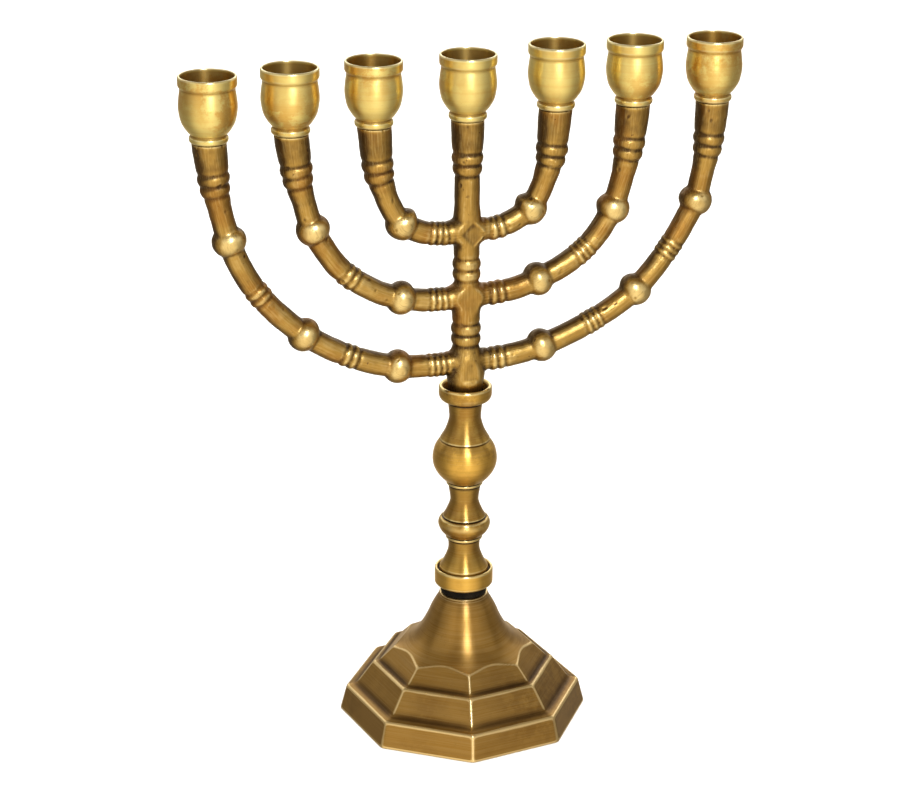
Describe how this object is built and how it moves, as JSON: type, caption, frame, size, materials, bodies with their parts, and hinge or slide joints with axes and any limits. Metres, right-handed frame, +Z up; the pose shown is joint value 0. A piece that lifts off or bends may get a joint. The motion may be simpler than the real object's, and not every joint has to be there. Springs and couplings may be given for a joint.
{
  "type": "menorah",
  "caption": "Branched brass menorah with a stepped octagonal hollow base, a turned baluster stem, cast curved branches and screwed-on cups for household candles.",
  "frame": {"origin": "middle of the foot of the base, on the surface it stands on, under the stem's axis", "axes": "+Z up along the stem, +X along the row of cups to the right as seen from the front, +Y from the front to the back"},
  "size_m": [0.2478, 0.1098, 0.3068],
  "materials": {
    "base_brass": "antiqued brass, brushed along each facet and round the cone, worn bright on the ridges",
    "stem_brass": "antiqued turned brass with fine lathe lines, dark in the grooves",
    "cast_brass": "antiqued sand-cast brass, filed and polished by hand, with brown patina and small pits",
    "cup_brass": "bright satin turned brass with fine lathe lines",
    "steel": "plain zinc-plated steel, dulled",
    "spacer": "matt black"
  },
  "bodies": {
    "base_and_stem": {"base_shell": "base_brass", "base_bolt_washer": "steel", "base_bolt": "steel", "neck_spacer": "spacer", "stem": "stem_brass"},
    "candelabrum_stud": {"candelabrum_stud": "steel"},
    "candelabrum": {"centre_shaft": "cast_brass", "branch_left_inner": "cast_brass", "branch_left_middle": "cast_brass", "branch_left_outer": "cast_brass", "branch_right_inner": "cast_brass", "branch_right_middle": "cast_brass", "branch_right_outer": "cast_brass"},
    "cup_screw_1": {"cup_screw_1": "steel"},
    "cup_1": {"cup_1": "cup_brass"},
    "cup_screw_2": {"cup_screw_2": "steel"},
    "cup_2": {"cup_2": "cup_brass"},
    "cup_screw_3": {"cup_screw_3": "steel"},
    "cup_3": {"cup_3": "cup_brass"},
    "cup_screw_4": {"cup_screw_4": "steel"},
    "cup_4": {"cup_4": "cup_brass"},
    "cup_screw_5": {"cup_screw_5": "steel"},
    "cup_5": {"cup_5": "cup_brass"},
    "cup_screw_6": {"cup_screw_6": "steel"},
    "cup_6": {"cup_6": "cup_brass"},
    "cup_screw_7": {"cup_screw_7": "steel"},
    "cup_7": {"cup_7": "cup_brass"}
  },
  "joints": [
    {"name": "candelabrum_rise", "type": "slide", "parent": "base_and_stem", "child": "candelabrum_stud", "axis": [0, 0, 1], "range_m": [0, 0.01]},
    {"name": "candelabrum_turn", "type": "hinge", "parent": "candelabrum_stud", "child": "candelabrum", "pos_m": [0, 0, 0.1521], "axis": [0, 0, 1], "range_deg": [0, 2880]},
    {"name": "cup_1_rise", "type": "slide", "parent": "candelabrum", "child": "cup_screw_1", "axis": [0, 0, 1], "range_m": [0, 0.008]},
    {"name": "cup_1_turn", "type": "hinge", "parent": "cup_screw_1", "child": "cup_1", "pos_m": [-0.1116, 0, 0.2754], "axis": [0, 0, 1], "range_deg": [0, 3600]},
    {"name": "cup_2_rise", "type": "slide", "parent": "candelabrum", "child": "cup_screw_2", "axis": [0, 0, 1], "range_m": [0, 0.008]},
    {"name": "cup_2_turn", "type": "hinge", "parent": "cup_screw_2", "child": "cup_2", "pos_m": [-0.077, 0, 0.2764], "axis": [0, 0, 1], "range_deg": [0, 3600]},
    {"name": "cup_3_rise", "type": "slide", "parent": "candelabrum", "child": "cup_screw_3", "axis": [0, 0, 1], "range_m": [0, 0.008]},
    {"name": "cup_3_turn", "type": "hinge", "parent": "cup_screw_3", "child": "cup_3", "pos_m": [-0.0412, 0, 0.277], "axis": [0, 0, 1], "range_deg": [0, 3600]},
    {"name": "cup_4_rise", "type": "slide", "parent": "candelabrum", "child": "cup_screw_4", "axis": [0, 0, 1], "range_m": [0, 0.008]},
    {"name": "cup_4_turn", "type": "hinge", "parent": "cup_screw_4", "child": "cup_4", "pos_m": [0, 0, 0.277], "axis": [0, 0, 1], "range_deg": [0, 3600]},
    {"name": "cup_5_rise", "type": "slide", "parent": "candelabrum", "child": "cup_screw_5", "axis": [0, 0, 1], "range_m": [0, 0.008]},
    {"name": "cup_5_turn", "type": "hinge", "parent": "cup_screw_5", "child": "cup_5", "pos_m": [0.0394, 0, 0.2788], "axis": [0, 0, 1], "range_deg": [0, 3600]},
    {"name": "cup_6_rise", "type": "slide", "parent": "candelabrum", "child": "cup_screw_6", "axis": [0, 0, 1], "range_m": [0, 0.008]},
    {"name": "cup_6_turn", "type": "hinge", "parent": "cup_screw_6", "child": "cup_6", "pos_m": [0.0748, 0, 0.2782], "axis": [0, 0, 1], "range_deg": [0, 3600]},
    {"name": "cup_7_rise", "type": "slide", "parent": "candelabrum", "child": "cup_screw_7", "axis": [0, 0, 1], "range_m": [0, 0.008]},
    {"name": "cup_7_turn", "type": "hinge", "parent": "cup_screw_7", "child": "cup_7", "pos_m": [0.1116, 0, 0.277], "axis": [0, 0, 1], "range_deg": [0, 3600]}
  ],
  "couplings": [
    {"joint": "candelabrum_rise", "follows": "candelabrum_turn", "m_per_rad": 0.00019894},
    {"joint": "cup_1_turn", "follows": "cup_1_rise", "rad_per_m": 7854},
    {"joint": "cup_2_turn", "follows": "cup_2_rise", "rad_per_m": 7854},
    {"joint": "cup_3_turn", "follows": "cup_3_rise", "rad_per_m": 7854},
    {"joint": "cup_4_turn", "follows": "cup_4_rise", "rad_per_m": 7854},
    {"joint": "cup_5_turn", "follows": "cup_5_rise", "rad_per_m": 7854},
    {"joint": "cup_6_turn", "follows": "cup_6_rise", "rad_per_m": 7854},
    {"joint": "cup_7_turn", "follows": "cup_7_rise", "rad_per_m": 7854}
  ]
}
